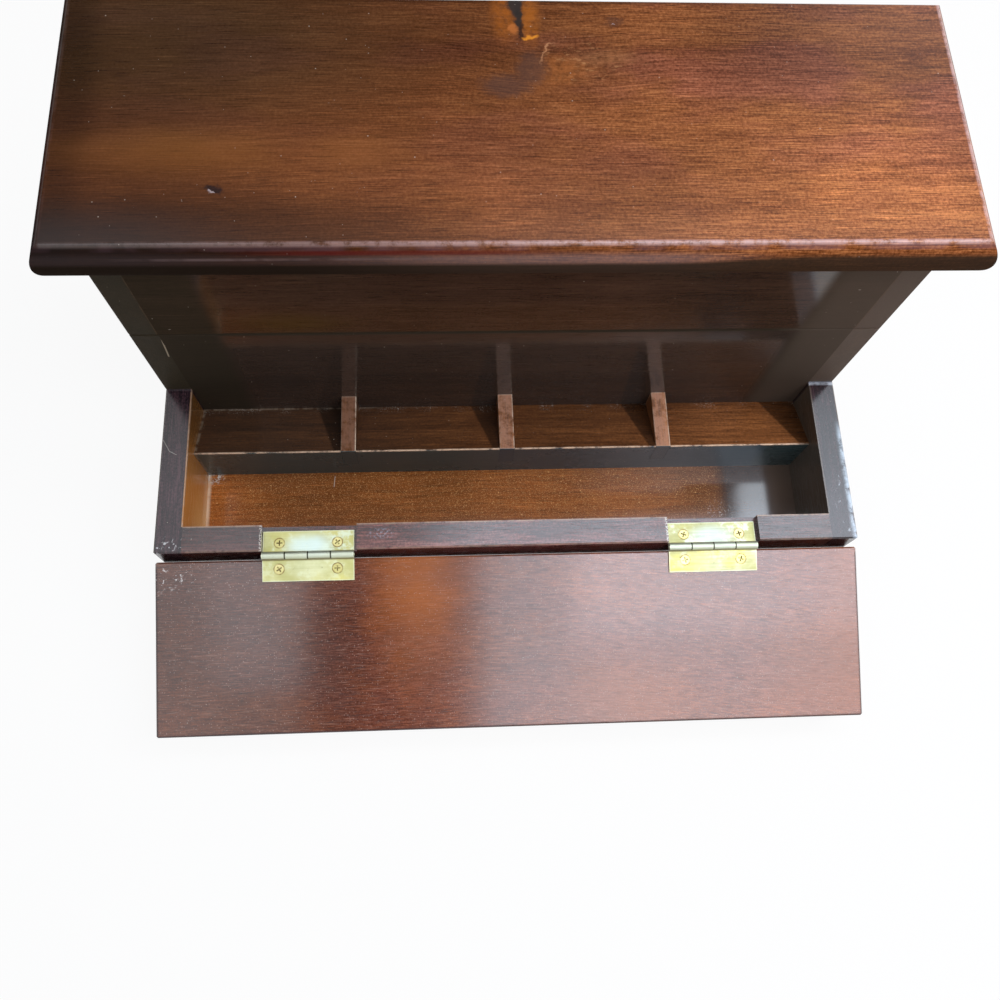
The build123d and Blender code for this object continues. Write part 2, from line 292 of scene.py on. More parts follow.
    def varnish(self, coat=1.0, coat_roughness=0.2, bump=0.2, ior=1.5, coat_ior=1.5):
        """Close the graph and put the material on the board. Where only some faces are varnished, coat is a mask."""
        height = self.add(self.height, self.smears, 1.5)
        shader = self.node("BsdfPrincipled", {
            "Base Color": self.colour, "Roughness": self.roughness, "IOR": ior,
            "Coat Weight": coat, "Coat Roughness": coat_roughness, "Coat IOR": coat_ior,
            "Normal": self.bump(height, bump, 0.0002)})
        dress(self.name, self.finish(shader.outputs[0]))


def dress(node, material):
    """Put a material on a CAD node's mesh."""
    mesh = nodes[node].data
    mesh.materials.clear()
    mesh.materials.append(material)


# Stains: dark, middle and pale.
CASE_TONES = ((0.034, 0.018, 0.011), (0.070, 0.036, 0.022), (0.120, 0.060, 0.035))
LEDGE_TONES = ((0.008, 0.004, 0.008), (0.030, 0.015, 0.020), (0.085, 0.040, 0.048))
RAIL_TONES = ((0.028, 0.009, 0.011), (0.140, 0.042, 0.036), (0.330, 0.112, 0.095))
TRAY_TONES = ((0.070, 0.024, 0.008), (0.178, 0.064, 0.021), (0.340, 0.128, 0.040))
TROUGH_TONES = ((0.140, 0.038, 0.006), (0.262, 0.077, 0.014), (0.420, 0.140, 0.032))
FLAP_TONES = ((0.125, 0.028, 0.010), (0.230, 0.059, 0.021), (0.345, 0.102, 0.040))
TOP_TONES = ((0.095, 0.026, 0.007), (0.222, 0.070, 0.021), (0.390, 0.142, 0.046))
LEDGE_TO_CASE = (2.3, 2.4, 1.1)         # factors that take the ledge's stain to the case's

# Single colours.
BARE_SHADED = (0.040, 0.033, 0.020)            # dull bare faces round the tall case: painted shade, at the left
BARE_LIT = (0.150, 0.108, 0.082)           # the same faces, painted light from the window, at the right
WORN = (0.55, 0.36, 0.24)               # wood that shows at a worn arris
CHALKY = (0.72, 0.66, 0.58)             # bruised varnish
LINT = (0.80, 0.76, 0.68)
GRIT = (0.90, 0.52, 0.20)               # sandy dirt on the trough's floor
DUST = (0.62, 0.52, 0.42)
TRAY_BLACK = (0.038, 0.078, 0.082)      # front face of the tray, in bounced orange light
TRAY_WINDOW_REFLECTION = (0.031, 0.076, 0.106)      # the same face with a painted reflection of the window

# Patches of the lid's top: place and half axes in X and Y, then a factor, or a colour and its amount.
PATCH_DEPTH = 0.02                      # half axis in Z
TOP_SHADES = (
    ((-0.105, -0.008), (0.075, 0.012), 0.50), ((-0.100, 0.075), (0.120, 0.030), 0.70),
    ((-0.040, 0.004), (0.035, 0.018), 1.28), ((0.035, 0.004), (0.030, 0.018), 0.80),
    ((0.122, 0.010), (0.026, 0.016), 1.28), ((0.115, 0.066), (0.055, 0.022), 0.64),
    ((-0.149, 0.040), (0.010, 0.070), 0.60), ((0.000, 0.087), (0.160, 0.0035), 0.45))
TOP_GOLD = (((-0.110, 0.022), (0.030, 0.007), 0.24), ((-0.053, 0.022), (0.012, 0.006), 0.20))
KNOT_GLOW = (
    ((-0.0040, 0.0790), (0.0040, 0.0100), (0.42, 0.115, 0.012), 0.62),
    ((0.0048, 0.0775), (0.0028, 0.0105), (0.46, 0.130, 0.012), 0.60),
    ((0.0130, 0.0545), (0.0090, 0.0060), (0.40, 0.125, 0.030), 0.50),
    ((0.0300, 0.0600), (0.0100, 0.0030), (0.44, 0.19, 0.080), 0.30))
KNOT_MARKS = (
    ((0.0045, 0.0555), (0.0052, 0.0065), (0.085, 0.041, 0.030), 0.66),      # stain round the burr
    ((-0.0045, 0.0480), (0.0080, 0.0045), (0.082, 0.040, 0.030), 0.66),
    ((0.0000, 0.0830), (0.0022, 0.0065), (0.034, 0.029, 0.026), 0.95),      # filled crack
    ((0.0006, 0.0765), (0.0014, 0.0050), (0.034, 0.026, 0.022), 0.95),
    ((0.0016, 0.0710), (0.0009, 0.0035), (0.030, 0.014, 0.010), 0.85),
    ((-0.0014, 0.0722), (0.0014, 0.0022), (0.56, 0.17, 0.040), 0.60),       # burnt flecks
    ((0.0046, 0.0686), (0.0024, 0.0009), (0.76, 0.27, 0.025), 0.85),
    ((0.0335, 0.0755), (0.0030, 0.0020), (0.090, 0.035, 0.020), 0.60),      # small dents
    ((0.0332, 0.0752), (0.0005, 0.0003), (0.50, 0.44, 0.46), 0.60),
    ((-0.0983, 0.0074), (0.0024, 0.0014), (0.020, 0.010, 0.010), 0.90),
    ((-0.0990, 0.0062), (0.0006, 0.0004), (0.50, 0.40, 0.40), 0.70))


def dress_top():
    """Lid board: knots at the back, and colour painted paler to the right, partly stain and partly painted light."""
    z = TOP_HIGH.z

    def round_knots(g):
        return g.product(g.near((0.012, 0.058, z), (0.022, 0.018, 0.1), 0.9), 0.0035)

    def livelier_right(g):
        return g.smooth(g.x, -0.13, 0.10, 0.42, 1.30)

    top = Board("lid_top", "X", TOP_TONES, 0.30, streak=0.75, contrast=1.8, fibre=0.9, bend=round_knots,
                gain=livelier_right)
    # Paler to the right: partly stain, partly painted light from the window side.
    top.shade(top.smooth(top.x, -0.16, 0.16, 0.47, 1.48))
    for place, halves, factor in TOP_SHADES:
        top.shade_where(top.near((*place, z), (*halves, PATCH_DEPTH), 0.8), factor)
    for place, halves, amount in TOP_GOLD:
        top.paint(top.near((*place, z), (*halves, PATCH_DEPTH), 0.9), (0.42, 0.15, 0.03), amount)
    mossy = top.near((-0.130, 0.068, z), (0.070, 0.030, 0.01), 0.8)
    top.tint(top.product(mossy, 0.9), (0.88, 1.30, 1.75))
    # The stain's hue wanders between orange and plum, more so towards the back and the right.
    plum = top.smooth(top.noise(top.stretch(top.place, (1.0, 2.2, 1.0)), 22.0, 3.0), 0.42, 0.64)
    plum = top.product(plum, top.smooth(top.x, -0.10, 0.06, 0.35, 1.0), top.smooth(top.y, -0.01, 0.05, 0.2, 1.0))
    top.tint(top.product(plum, 0.70), (0.94, 0.86, 1.50))
    slate = top.near((-0.140, -0.014, z), (0.036, 0.012, 0.01), 0.8)
    top.paint(slate, (0.032, 0.027, 0.027), 0.6)
    dress_knots(top, z)
    top.dust(0.06)
    dress_nose(top, z)


def nose_inset():
    """How far in from the top board's sides its flat face ends: read from the highest corners."""
    corners = [v.co for v in nodes["lid_top"].data.vertices if v.co.z > TOP_HIGH.z - 1e-5]
    return TOP_HIGH.x - max(c.x for c in corners)


def dress_nose(top, z):
    """Round edge of the lid board: a pale line on the arris, partly wear and partly a painted highlight; painted
    sheen and reflections on the round; painted shade on its lower part and at the left; and a dark line along the
    back.
    """
    arris = nose_inset()
    depth = top.math("SUBTRACT", z, top.z)
    left = top.smooth(top.x, 0.02, -0.10)
    # Painted sheen: a pinkish grey haze on the round below the arris, from the left to right of the middle.
    painted_sheen = top.product(top.smooth(depth, 0.0015, 0.0040), top.smooth(top.x, 0.09, 0.04))
    top.paint(top.product(painted_sheen, top.smooth(top.x, -0.10, 0.0, 0.14, 0.34)), (0.34, 0.26, 0.26))
    # Painted shade: the lower round dark, starting higher at the right.
    start = top.smooth(top.x, 0.045, 0.095, 0.0050, 0.0026)
    top.paint(top.smooth(top.add(depth, start, -1.0), 0.0, 0.0020), (0.038, 0.024, 0.015), 0.92)
    # Painted shade on the round at the left.
    top.shade_where(top.product(left, top.smooth(depth, 0.0004, 0.0012)), 0.50)
    # Painted highlight: a broken mauve line just under the arris, fading to the left.
    arris_highlight = top.product(top.band(depth, 0.0011, 0.0010), top.smooth(top.noise(top.place, 60.0, 3.0), 0.40, 0.58))
    top.paint(top.product(arris_highlight, top.smooth(top.x, -0.13, 0.0, 0.3, 1.0)), (0.190, 0.100, 0.120), 0.40)
    # Painted reflection: a pale pink line 4 mm down the round, left of the middle.
    lower_reflection = top.product(top.band(top.z, z - 0.0040, 0.0006), left, top.smooth(top.x, -0.135, -0.100))
    top.paint(top.product(lower_reflection, top.smooth(top.noise(top.place, 90.0, 3.0), 0.36, 0.60)), (0.24, 0.16, 0.15), 0.4)
    # Painted reflection: a crimson line 2 mm down the round, left of the middle.
    crimson_reflection = top.product(top.band(top.z, z - 0.0022, 0.0009), top.smooth(top.x, -0.100, -0.060),
                          top.smooth(top.x, 0.020, -0.020))
    top.paint(crimson_reflection, (0.130, 0.014, 0.012), 0.60)
    # A pale line along the arris: partly wear and partly a painted highlight.
    inset_x = top.math("SUBTRACT", TOP_HIGH.x - arris, top.math("ABSOLUTE", top.x))
    inset_y = top.math("SUBTRACT", top.y, TOP_LOW.y + arris)
    inset = top.math("MINIMUM", inset_x, inset_y)
    line = top.product(top.band(inset, -0.0001, 0.0011), top.smooth(top.z, z - 0.003, z - 0.001))
    line = top.product(line, top.smooth(top.x, -0.15, 0.06, 0.06, 1.0))
    top.worn(line, (0.72, 0.46, 0.43), 0.62)
    back = top.product(top.smooth(top.y, TOP_HIGH.y - 0.0040, TOP_HIGH.y - 0.0020), top.smooth(depth, 0.0045, 0.0020))
    top.paint(back, (0.040, 0.024, 0.026), 0.80)
    top.roughness = top.add(top.roughness, top.smooth(depth, 0.0002, 0.0012), 0.55)
    glossy = top.math("MAXIMUM", top.smooth(inset_x, -0.0002, 0.0012), top.smooth(top.x, -0.05, 0.05))
    glossy = top.product(glossy, top.smooth(top.z, z - 0.0012, z - 0.0002))
    top.varnish(glossy, 0.22, ior=1.07, coat_ior=1.55)


def dress_knots(top, z):
    """A filled crack, two burnt orange flecks and a burr with its dark stain, near the back edge."""
    fine = top.noise(top.place, 420.0, 4.0, 0.65)
    curl = top.smooth(fine, 0.30, 0.60, 0.25, 1.0)
    ragged = top.warped(330.0, 0.0050)
    burr = top.near((0.0200, 0.0580, z), (0.0200, 0.0110, PATCH_DEPTH), 0.8)
    top.shade_where(top.product(burr, top.smooth(fine, 0.40, 0.62, 1.0, 0.0)), 0.74)
    for place, halves, colour, amount in KNOT_GLOW:
        top.paint(top.product(top.near((*place, z), (*halves, PATCH_DEPTH), 0.7), curl), colour, amount)
    for place, halves, colour, amount in KNOT_MARKS:
        top.paint(top.near((*place, z), (*halves, PATCH_DEPTH), 0.45, ragged), colour, amount)
    arc = top.band(top.reach((0.0150, 0.0590, z), (0.0070, 0.0080, 0.1), ragged), 1.0, 0.07)
    arc = top.product(arc, top.near((0.0088, 0.0630, z), (0.0040, 0.0055, 0.1), 0.4), curl)
    top.paint(arc, (0.52, 0.24, 0.11), 0.65)
    flame = top.noise(top.stretch(top.place, (260.0, 700.0, 1.0)), 1.0, 4.0, 0.65)
    around = top.near((0.0240, 0.0590, z), (0.0150, 0.0085, PATCH_DEPTH), 0.8)
    top.paint(top.product(top.smooth(flame, 0.56, 0.68), around), (0.50, 0.23, 0.09), 0.60)


def dress_ledge():
    """Side boards and front rail: nearly black tops, inner faces painted golden as lit at the left and dim as shaded
    at the right, and worn arrises.
    """
    # The left well is painted lit and golden, the right one shaded; the bare fronts are painted shaded at the left
    # and lit at the right.
    dress_side("side_left", (0.66, 0.27, 0.058), WORN, BARE_SHADED)
    dress_side("side_right", (0.150, 0.120, 0.090), (0.10, 0.07, 0.06), BARE_LIT)
    dress_rail()


def dress_side(name, well_lit_or_shaded, rim_colour, bare_lit_or_shaded):
    """A stepped side board: its ledge is varnished and nearly black, and the rest has the case's stain. Its well and
    bare front are painted lit or shaded as given.
    """
    left = name == "side_left"
    board = Board(name, "Y", LEDGE_TONES, 0.24, streak=1.6, contrast=2.2, fibre=2.0)
    size = board.math("ABSOLUTE", board.x)
    outside = board.math("MAXIMUM", board.smooth(size, OUTER_X - 0.0006, OUTER_X - 0.0002),
                         board.smooth(board.y, board.high.y - 0.0006, board.high.y - 0.0002))
    case_face = board.smooth(board.z, LEDGE_Z + 0.0005, LEDGE_Z + 0.0015)
    brown = board.math("MAXIMUM", outside, case_face)
    board.tint(brown, LEDGE_TO_CASE)
    board.paint(brown, CASE_TONES[1], 0.5)
    inside = board.smooth(size, INNER_X + 0.0002, INNER_X + 0.0007, 1.0, 0.0)
    ahead = board.smooth(board.y, CASE_FRONT - 0.002, CASE_FRONT - 0.0005, 1.0, 0.0)
    behind = board.smooth(board.y, RAIL_HIGH.y - 0.0002, RAIL_HIGH.y + 0.0002)
    well = board.product(inside, ahead, behind)
    board.paint(well, well_lit_or_shaded, 0.88)
    # Painted shade: the left well darker towards the back.
    if left:
        board.shade_where(board.product(well, board.smooth(board.y, -0.050, -0.015)), 0.35)
    rim = board.product(board.band(size, INNER_X, 0.0007), board.band(board.z, LEDGE_Z, 0.0012))
    rim = board.product(rim, board.smooth(board.y, RAIL_HIGH.y - 0.0005, RAIL_HIGH.y + 0.0005))
    board.worn(rim, rim_colour, 0.7)
    board.wear_edges(WORN, 0.30, 0.0008, mask=board.smooth(size, INNER_X + 0.0010, INNER_X + 0.0020))
    upper = board.smooth(board.z, LEDGE_Z - 0.0040, LEDGE_Z - 0.0010)
    if left:
        mark_left_side(board, well, upper)
    else:
        mark_right_side(board, size, upper)
    board.dust(0.06)
    # The bare front above the ledge: painted shade at the left, painted light at the right.
    bare = board.product(case_face, board.smooth(board.y, CASE_FRONT + 0.0008, CASE_FRONT + 0.0003))
    board.paint(bare, bare_lit_or_shaded, 0.85)
    board.roughness = board.add(board.roughness, case_face, 0.30)
    if left:
        scratch = board.stroke((-0.1335, CASE_FRONT, 0.0865), (-0.1350, CASE_FRONT, 0.0700), 0.0004)
        board.paint(scratch, (0.50, 0.40, 0.28), 0.8)
    board.varnish(board.unless(board.math("MAXIMUM", case_face, outside)), 0.18, 0.5, ior=1.13, coat_ior=1.60)


def mark_left_side(board, well, upper):
    """Scratches on the left ledge, nicks at its front corner, and the key lamp's patch on the well's wall."""
    for start, end in (((-0.1445, -0.0298), (-0.1415, -0.0350)), ((-0.1415, -0.0350), (-0.1385, -0.0366))):
        board.paint(board.stroke((*start, LEDGE_Z), (*end, LEDGE_Z), 0.00022), CHALKY, 0.4)
    nicks = board.smooth(board.noise(board.place, 620.0, 3.0, 0.6), 0.60, 0.67)
    nicks = board.product(nicks, board.smooth(board.y, -0.071, -0.076), upper)
    board.paint(nicks, (0.80, 0.80, 0.80), 0.8)
    lit = board.near((-INNER_X, -0.067, 0.010), (0.004, 0.016, 0.014), 0.8)
    board.paint(board.product(well, lit), (0.95, 0.60, 0.22), 0.6)


def mark_right_side(board, size, upper):
    """Bruised outer arris and scuffs on the right ledge, and a pale line at the foot of the tall case."""
    outer = board.product(board.smooth(size, OUTER_X - 0.0030, OUTER_X - 0.0004), upper)
    board.worn(board.product(outer, board.smooth(board.y, -0.024, -0.034)), (0.62, 0.74, 0.86), 0.9)
    scuffs = board.smooth(board.noise(board.stretch(board.place, (1.0, 0.5, 1.0)), 420.0, 4.0, 0.7), 0.60, 0.70)
    scuffs = board.product(scuffs, board.smooth(size, 0.136, 0.144), board.smooth(board.y, -0.020, -0.060), upper)
    board.paint(scuffs, (0.70, 0.78, 0.86), 0.75)
    foot = board.product(board.band(board.y, CASE_FRONT - 0.0008, 0.0010), board.band(board.z, LEDGE_Z, 0.001))
    board.worn(foot, (0.62, 0.66, 0.74), 0.7)


def dress_rail():
    """Front rail: redder, dark towards its ends, with bruised notches."""
    rail = Board("front_rail", "X", RAIL_TONES, 0.24, streak=1.6, contrast=2.2, fibre=2.0)
    rail.shade(rail.smooth(rail.x, -0.100, -0.050, 0.36, 1.0))
    rail.shade(rail.smooth(rail.x, 0.060, 0.100, 1.0, 0.45))
    rail.worn(rail.product(rail.band(rail.y, RAIL_HIGH.y, 0.0007), rail.band(rail.z, LEDGE_Z, 0.0012)), WORN, 0.5)
    for leaf in ("rail_hinge_leaf_left", "rail_hinge_leaf_right"):
        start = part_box(leaf)[0].x
        chips = rail.smooth(rail.noise(rail.place, 1500.0, 3.0, 0.6), 0.44, 0.58)
        upper = rail.smooth(rail.z, LEDGE_Z - 0.0016, LEDGE_Z - 0.0006)
        rail.paint(rail.product(rail.band(rail.x, start - 0.0005, 0.0009), chips, upper), CHALKY, 0.9)
    rail.wear_edges(WORN, 0.3, mask=rail.smooth(rail.math("ABSOLUTE", rail.x), INNER_X - 0.0010, INNER_X - 0.0025))
    smudge = rail.product(rail.near((-0.054, -0.0725, LEDGE_Z), (0.005, 0.002, 0.01)),
                          rail.smooth(rail.noise(rail.place, 900.0, 2.0), 0.5, 0.6))
    rail.paint(smudge, (0.34, 0.34, 0.42), 0.5)
    rail.dust(0.06)
    rail.varnish(1.0, 0.18, 0.5, ior=1.45)


def dress_case():
    """Boards of the tall case and of the lid's frame: dark and glossy in front, bare at the sides, the bare faces
    painted shaded at the left and lit at the right.
    """
    for name in ("case_front", "lid_front"):
        of_lid = name == "lid_front"
        board = Board(name, "X", CASE_TONES, 0.16, streak=0.8, contrast=0.7, fibre=0.6)
        if not of_lid:
            board.paint(1.0, (0.044, 0.037, 0.033), 0.5)
        ends = board.smooth(board.math("ABSOLUTE", board.x), 0.107, 0.115)
        ends = board.math("MAXIMUM", ends, board.band(board.z, board.low.z if of_lid else board.high.z, 0.0016))
        board.paint(ends, BARE_SHADED, 0.6)
        board.roughness = board.add(board.roughness, ends, 0.45)
        # Painted light on the bare ends at the right.
        board.paint(board.product(ends, board.smooth(board.x, 0.10, 0.12)), BARE_LIT, 0.55)
        if of_lid:
            # Painted reflection: a warm amber patch on the lid's front, left of the middle.
            amber_reflection = board.near((-0.083, CASE_FRONT, 0.095), (0.018, 0.010, 0.006), 0.8)
            board.paint(amber_reflection, (0.085, 0.048, 0.010), 0.5)
        board.dust(0.04)
        board.varnish(board.unless(ends, 1.0 if of_lid else 0.85), 0.10, 0.12, ior=1.05, coat_ior=1.53)
    for name in ("case_back", "lid_back", "lid_side_left", "lid_side_right"):
        of_side = "side" in name
        board = Board(name, "Y" if of_side else "X", CASE_TONES, 0.34)
        if of_side:
            front = board.smooth(board.y, board.low.y + 0.0006, board.low.y + 0.0002)
            # The lid sides' front faces: painted light at the right, painted shade at the left.
            board.paint(front, BARE_LIT if name.endswith("right") else BARE_SHADED, 0.85)
            board.roughness = board.add(board.roughness, front, 0.25)
        board.wear_edges((0.16, 0.09, 0.05), 0.30, 0.0008)
        board.dust(0.03)
        board.varnish(0.0, 0.20, ior=1.13)


def dress_trough():
    """Floor of the pen trough: golden brown and gritty; glossy at its right end, with a painted shadow of the right
    wall and a painted reflection of it.
    """
    trough = Board("base_board", "X", TROUGH_TONES, 0.36, streak=0.6)
    # Tone steps along X: lighter at the far left, darker to the right, and at the right end a painted shadow of the
    # right wall.
    for low, high, before, after in (
            (-0.128, -0.100, 1.60, 1.0), (-0.040, 0.020, 0.96, 1.12), (0.050, 0.090, 1.0, 0.66),
            (0.096, 0.104, 1.0, 0.22)):
        trough.shade(trough.smooth(trough.x, low, high, before, after))
    # Painted reflection of the right wall, at the far right end.
    trough.paint(trough.smooth(trough.x, 0.118, 0.126), (0.130, 0.085, 0.060), 0.9)
    corner = trough.smooth(trough.x, -INNER_X + 0.0006, -INNER_X + 0.0020, 1.0, 0.0)
    corner = trough.product(corner, trough.smooth(trough.noise(trough.place, 160.0, 3.0), 0.25, 0.50, 0.35, 1.0))
    trough.paint(corner, (0.95, 0.74, 0.52), 0.75)
    # lit: the floor outside the painted shadow at the right end, which alone gets grit.
    lit = trough.smooth(trough.x, 0.106, 0.094)
    for scale, cut, amount in ((2300.0, 0.56, 0.45), (1100.0, 0.64, 0.55)):
        sand = trough.smooth(trough.noise(trough.place, scale, 2.0, 0.6), cut, cut + 0.10)
        trough.paint(trough.product(sand, lit), GRIT, amount)
    trough.paint(trough.product(trough.specks(340.0, 0.00040, 0.20, 8.8), lit), GRIT, 0.7)
    lint = trough.noise(trough.warped(500.0, 0.004), 900.0, 3.0, 0.7)
    for place, halves, cut in (((-INNER_X + 0.002, TRAY_LOW.y - 0.001), (0.005, 0.003), 0.50),
                               ((0.098, -0.058), (0.005, 0.006), 0.57)):
        pile = trough.product(trough.near((*place, TRAY_LOW.z), (*halves, 0.01), 0.7),
                              trough.smooth(lint, cut, cut + 0.08))
        trough.paint(pile, LINT, 0.9)
    trough.paint(trough.stroke((-0.0772, -0.0346, TRAY_LOW.z), (-0.0776, -0.0399, TRAY_LOW.z), 0.0002), CHALKY, 0.7)
    gloss = trough.smooth(trough.x, 0.02, 0.08, 0.12, 0.70)
    gloss = trough.math("MAXIMUM", gloss, trough.smooth(trough.x, 0.096, 0.104))
    trough.varnish(gloss, 0.13, ior=1.25, coat_ior=1.85)


def dress_tray():
    """Compartments: golden brown inside, with painted shade to the left and painted light to the right, a black face
    with a painted reflection of the window, and a cream arris, partly wear and partly a painted highlight.
    """
    tray = Board("tray_block", "X", TRAY_TONES, 0.28)
    # Painted shade and light: darker and greyer towards the left, lighter in the last compartment at the right.
    tray.shade(tray.smooth(tray.x, -0.13, 0.05, 0.46, 1.05))
    tray.shade(tray.smooth(tray.x, 0.06, 0.10, 1.0, 1.65))
    tray.paint(tray.smooth(tray.x, 0.0, -0.12), (0.060, 0.050, 0.040), 0.35)
    # The floors fall away from the front, so the walls on their right shade a wedge of each.
    for right in [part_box(f"divider_{i}")[0].x for i in (1, 2, 3)] + [INNER_X]:
        depth = tray.math("SUBTRACT", tray.y, TRAY_LOW.y)
        gap = tray.math("SUBTRACT", right, tray.x)
        offset, slope = (0.0018, 0.34) if right < INNER_X else (0.0030, 0.47)
        wedge = tray.smooth(tray.add(gap, depth, -slope), offset, offset + 0.0020, 1.0, 0.0)
        tray.shade_where(tray.product(wedge, tray.smooth(gap, -0.0004, 0.0004)), 0.35)
    face = tray.smooth(tray.y, TRAY_LOW.y + 0.0001, TRAY_LOW.y + 0.0004, 1.0, 0.0)
    tray.paint(face, TRAY_BLACK, 0.97)
    # Painted reflection of the window on the tray face, from the middle to near the right end.
    slate = tray.product(tray.smooth(tray.x, -0.030, 0.030), tray.smooth(tray.x, 0.118, 0.112))
    tray.paint(tray.product(face, slate), TRAY_WINDOW_REFLECTION, 0.8)
    rims = tray.math("MAXIMUM", tray.smooth(tray.x, TRAY_LOW.x + 0.0014, TRAY_LOW.x + 0.0006),
                     tray.smooth(tray.y, CASE_FRONT - 0.0014, CASE_FRONT - 0.0004))
    rims = tray.product(rims, tray.smooth(tray.noise(tray.place, 420.0, 3.0), 0.36, 0.56))
    tray.paint(tray.product(rims, tray.smooth(tray.x, -0.02, -0.10)), (0.34, 0.26, 0.18), 0.6)
    # A cream line on the front arris: partly wear and partly a painted highlight.
    arris = tray.product(tray.band(tray.y, TRAY_LOW.y, 0.0010), tray.band(tray.z, TRAY_HIGH.z, 0.0009))
    tray.worn(tray.product(arris, tray.smooth(tray.x, -0.13, 0.02, 0.8, 1.0)), (0.90, 0.62, 0.42), 0.95)
    tray.dust(0.12)
    swept = tray.smooth(tray.y, CASE_FRONT - 0.005, CASE_FRONT - 0.001)
    fluff = tray.smooth(tray.noise(tray.place, 1500.0, 3.0, 0.7), 0.56, 0.66)
    fluff = tray.product(fluff, tray.smooth(tray.noise(tray.place, 90.0, 2.0), 0.45, 0.62))
    tray.paint(tray.product(swept, fluff), CHALKY, 0.7)
    tray.varnish(tray.unless(face, 0.7, 0.2), 0.18, ior=1.33)


def dress_dividers():
    """Dividers, painted lighter towards the window at the right as painted light, with a worn crown and right edge.
    """
    # factor is painted light, rising towards the window. Each front face takes the tray face's colour beside it, for
    # the second and third its painted reflection of the window.
    for name, factor, colour in (
            ("divider_1", 0.75, (0.037, 0.072, 0.076)), ("divider_2", 1.35, (0.031, 0.070, 0.092)),
            ("divider_3", 1.45, (0.031, 0.070, 0.092))):
        divider = Board(name, "Y", TRAY_TONES, 0.34)
        front = divider.smooth(divider.y, divider.low.y + 0.0001, divider.low.y + 0.0004, 1.0, 0.0)
        crown = divider.smooth(divider.z, divider.high.z - 0.0008, divider.high.z - 0.0002)
        divider.worn(crown, (0.48, 0.24, 0.15), 0.6)
        divider.shade(factor)
        right_edge = divider.product(divider.band(divider.x, divider.high.x, 0.0006), crown)
        divider.worn(right_edge, (0.80, 0.66, 0.50), 0.9)
        divider.wear_edges((0.70, 0.52, 0.38), 0.4 * factor, 0.0006)
        divider.dust(0.15)
        divider.paint(front, colour, 0.97)
        divider.varnish(divider.unless(front, 0.8, 0.2), 0.22, ior=1.33)


def lie_flat(g, node):
    """A graph's places and a node's low and high corners, with the flap and what it carries turned level."""
    corners = [v.co.copy() for v in nodes[node].data.vertices]
    level = g.place
    if node.startswith("flap"):
        turn = Matrix.Rotation(-FLAP_DROOP, 4, "X")
        corners = [turn @ (c - FLAP_PIN) + FLAP_PIN for c in corners]
        level = g.node("VectorRotate", {"Vector": g.place, "Center": tuple(FLAP_PIN), "Angle": -FLAP_DROOP},
                       rotation_type="X_AXIS").outputs[0]
    return level, corners


def span(corners):
    """Low and high corner of the box round some places."""
    low, high = (Vector([pick(c[i] for c in corners) for i in range(3)]) for pick in (min, max))
    return low, high


FLAP_MARK_DEPTH = 0.005       # keeps the marks of the flap's inner face off its outer face


def dress_flap():
    """Flap: red-brown with level grain. Its marks are placed in its own frame, turned flat."""
    def slant(g):
        return g.product(g.x, g.smooth(g.x, -0.08, 0.08), 0.11)

    flap = Board("flap", "X", FLAP_TONES, 0.22, streak=0.5, contrast=3.0, fibre=0.45, bend=slant, fine=1.7)
    level, corners = lie_flat(flap, "flap")
    low, high = span(corners)
    out = flap.axes(level)[1]
    flap.shade(flap.smooth(flap.x, -0.110, -0.040, 0.50, 0.86))
    flap.shade(flap.smooth(flap.x, -0.010, 0.060, 1.0, 1.12))
    flap.shade(flap.smooth(out, low.y, low.y + 0.030, 1.18, 1.0))
    glow = flap.near((-0.039, high.y - 0.004, high.z), (0.015, 0.036, FLAP_MARK_DEPTH), 0.9, level)
    flap.paint(glow, (0.60, 0.18, 0.040), 0.55)
    hue = flap.smooth(flap.noise(flap.stretch(flap.place, (1.0, 1.6, 1.0)), 30.0, 3.0), 0.38, 0.62)
    flap.tint(flap.product(hue, 0.80), (0.82, 0.90, 1.40))
    for place, halves in (((0.132, low.y + 0.012), (0.024, 0.018)), ((0.045, low.y + 0.008), (0.022, 0.014)),
                          ((0.142, high.y - 0.016), (0.010, 0.032))):
        orange = flap.near((*place, high.z), (*halves, FLAP_MARK_DEPTH), 0.9, level)
        flap.paint(orange, (0.36, 0.105, 0.028), 0.45)
    # Pale hairs and specks: partly the wood's fibres, partly painted glints of the sheen.
    hairs = flap.noise(flap.stretch(flap.shift(flap.place, (0.0, 0.4, 0.2)), (150.0, 3600.0, 3600.0)), 1.0, 2.0, 0.6)
    flap.paint(flap.smooth(hairs, 0.58, 0.72), (0.52, 0.30, 0.22), 0.40)
    flap.paint(flap.specks(1300.0, 0.00024, 0.25, 2.6), (0.62, 0.42, 0.34), 0.45)
    # Painted shade on the rounded rim, where it turns from the light and mirrors dark; the coat is thinned there too.
    rim = flap.product(flap.rim(0.0013, level, low, high), flap.smooth(out, high.y - 0.001, high.y - 0.003))
    flap.paint(rim, (0.030, 0.015, 0.020), 0.85)
    flap.dust(0.08)
    upper_left = flap.product(flap.smooth(flap.x, -0.07, -0.14), flap.smooth(out, high.y - 0.03, high.y))
    flap.paint(flap.product(upper_left, flap.specks(600.0, 0.0003, 0.5, 9.0)), (0.70, 0.62, 0.55), 0.6)
    chips = flap.smooth(flap.noise(flap.place, 560.0, 4.0, 0.7), 0.59, 0.65)
    corner = flap.near((low.x + 0.006, high.y - 0.006, high.z), (0.009, 0.0045, 0.01), 0.8, level)
    flap.paint(flap.product(corner, chips), (0.90, 0.84, 0.80), 0.9)
    coat = flap.product(flap.unless(rim, 1.0, 0.1), flap.smooth(flap.x, 0.085, 0.145, 1.0, 0.84))
    flap.varnish(coat, 0.13, 0.45, ior=1.36, coat_ior=1.62)


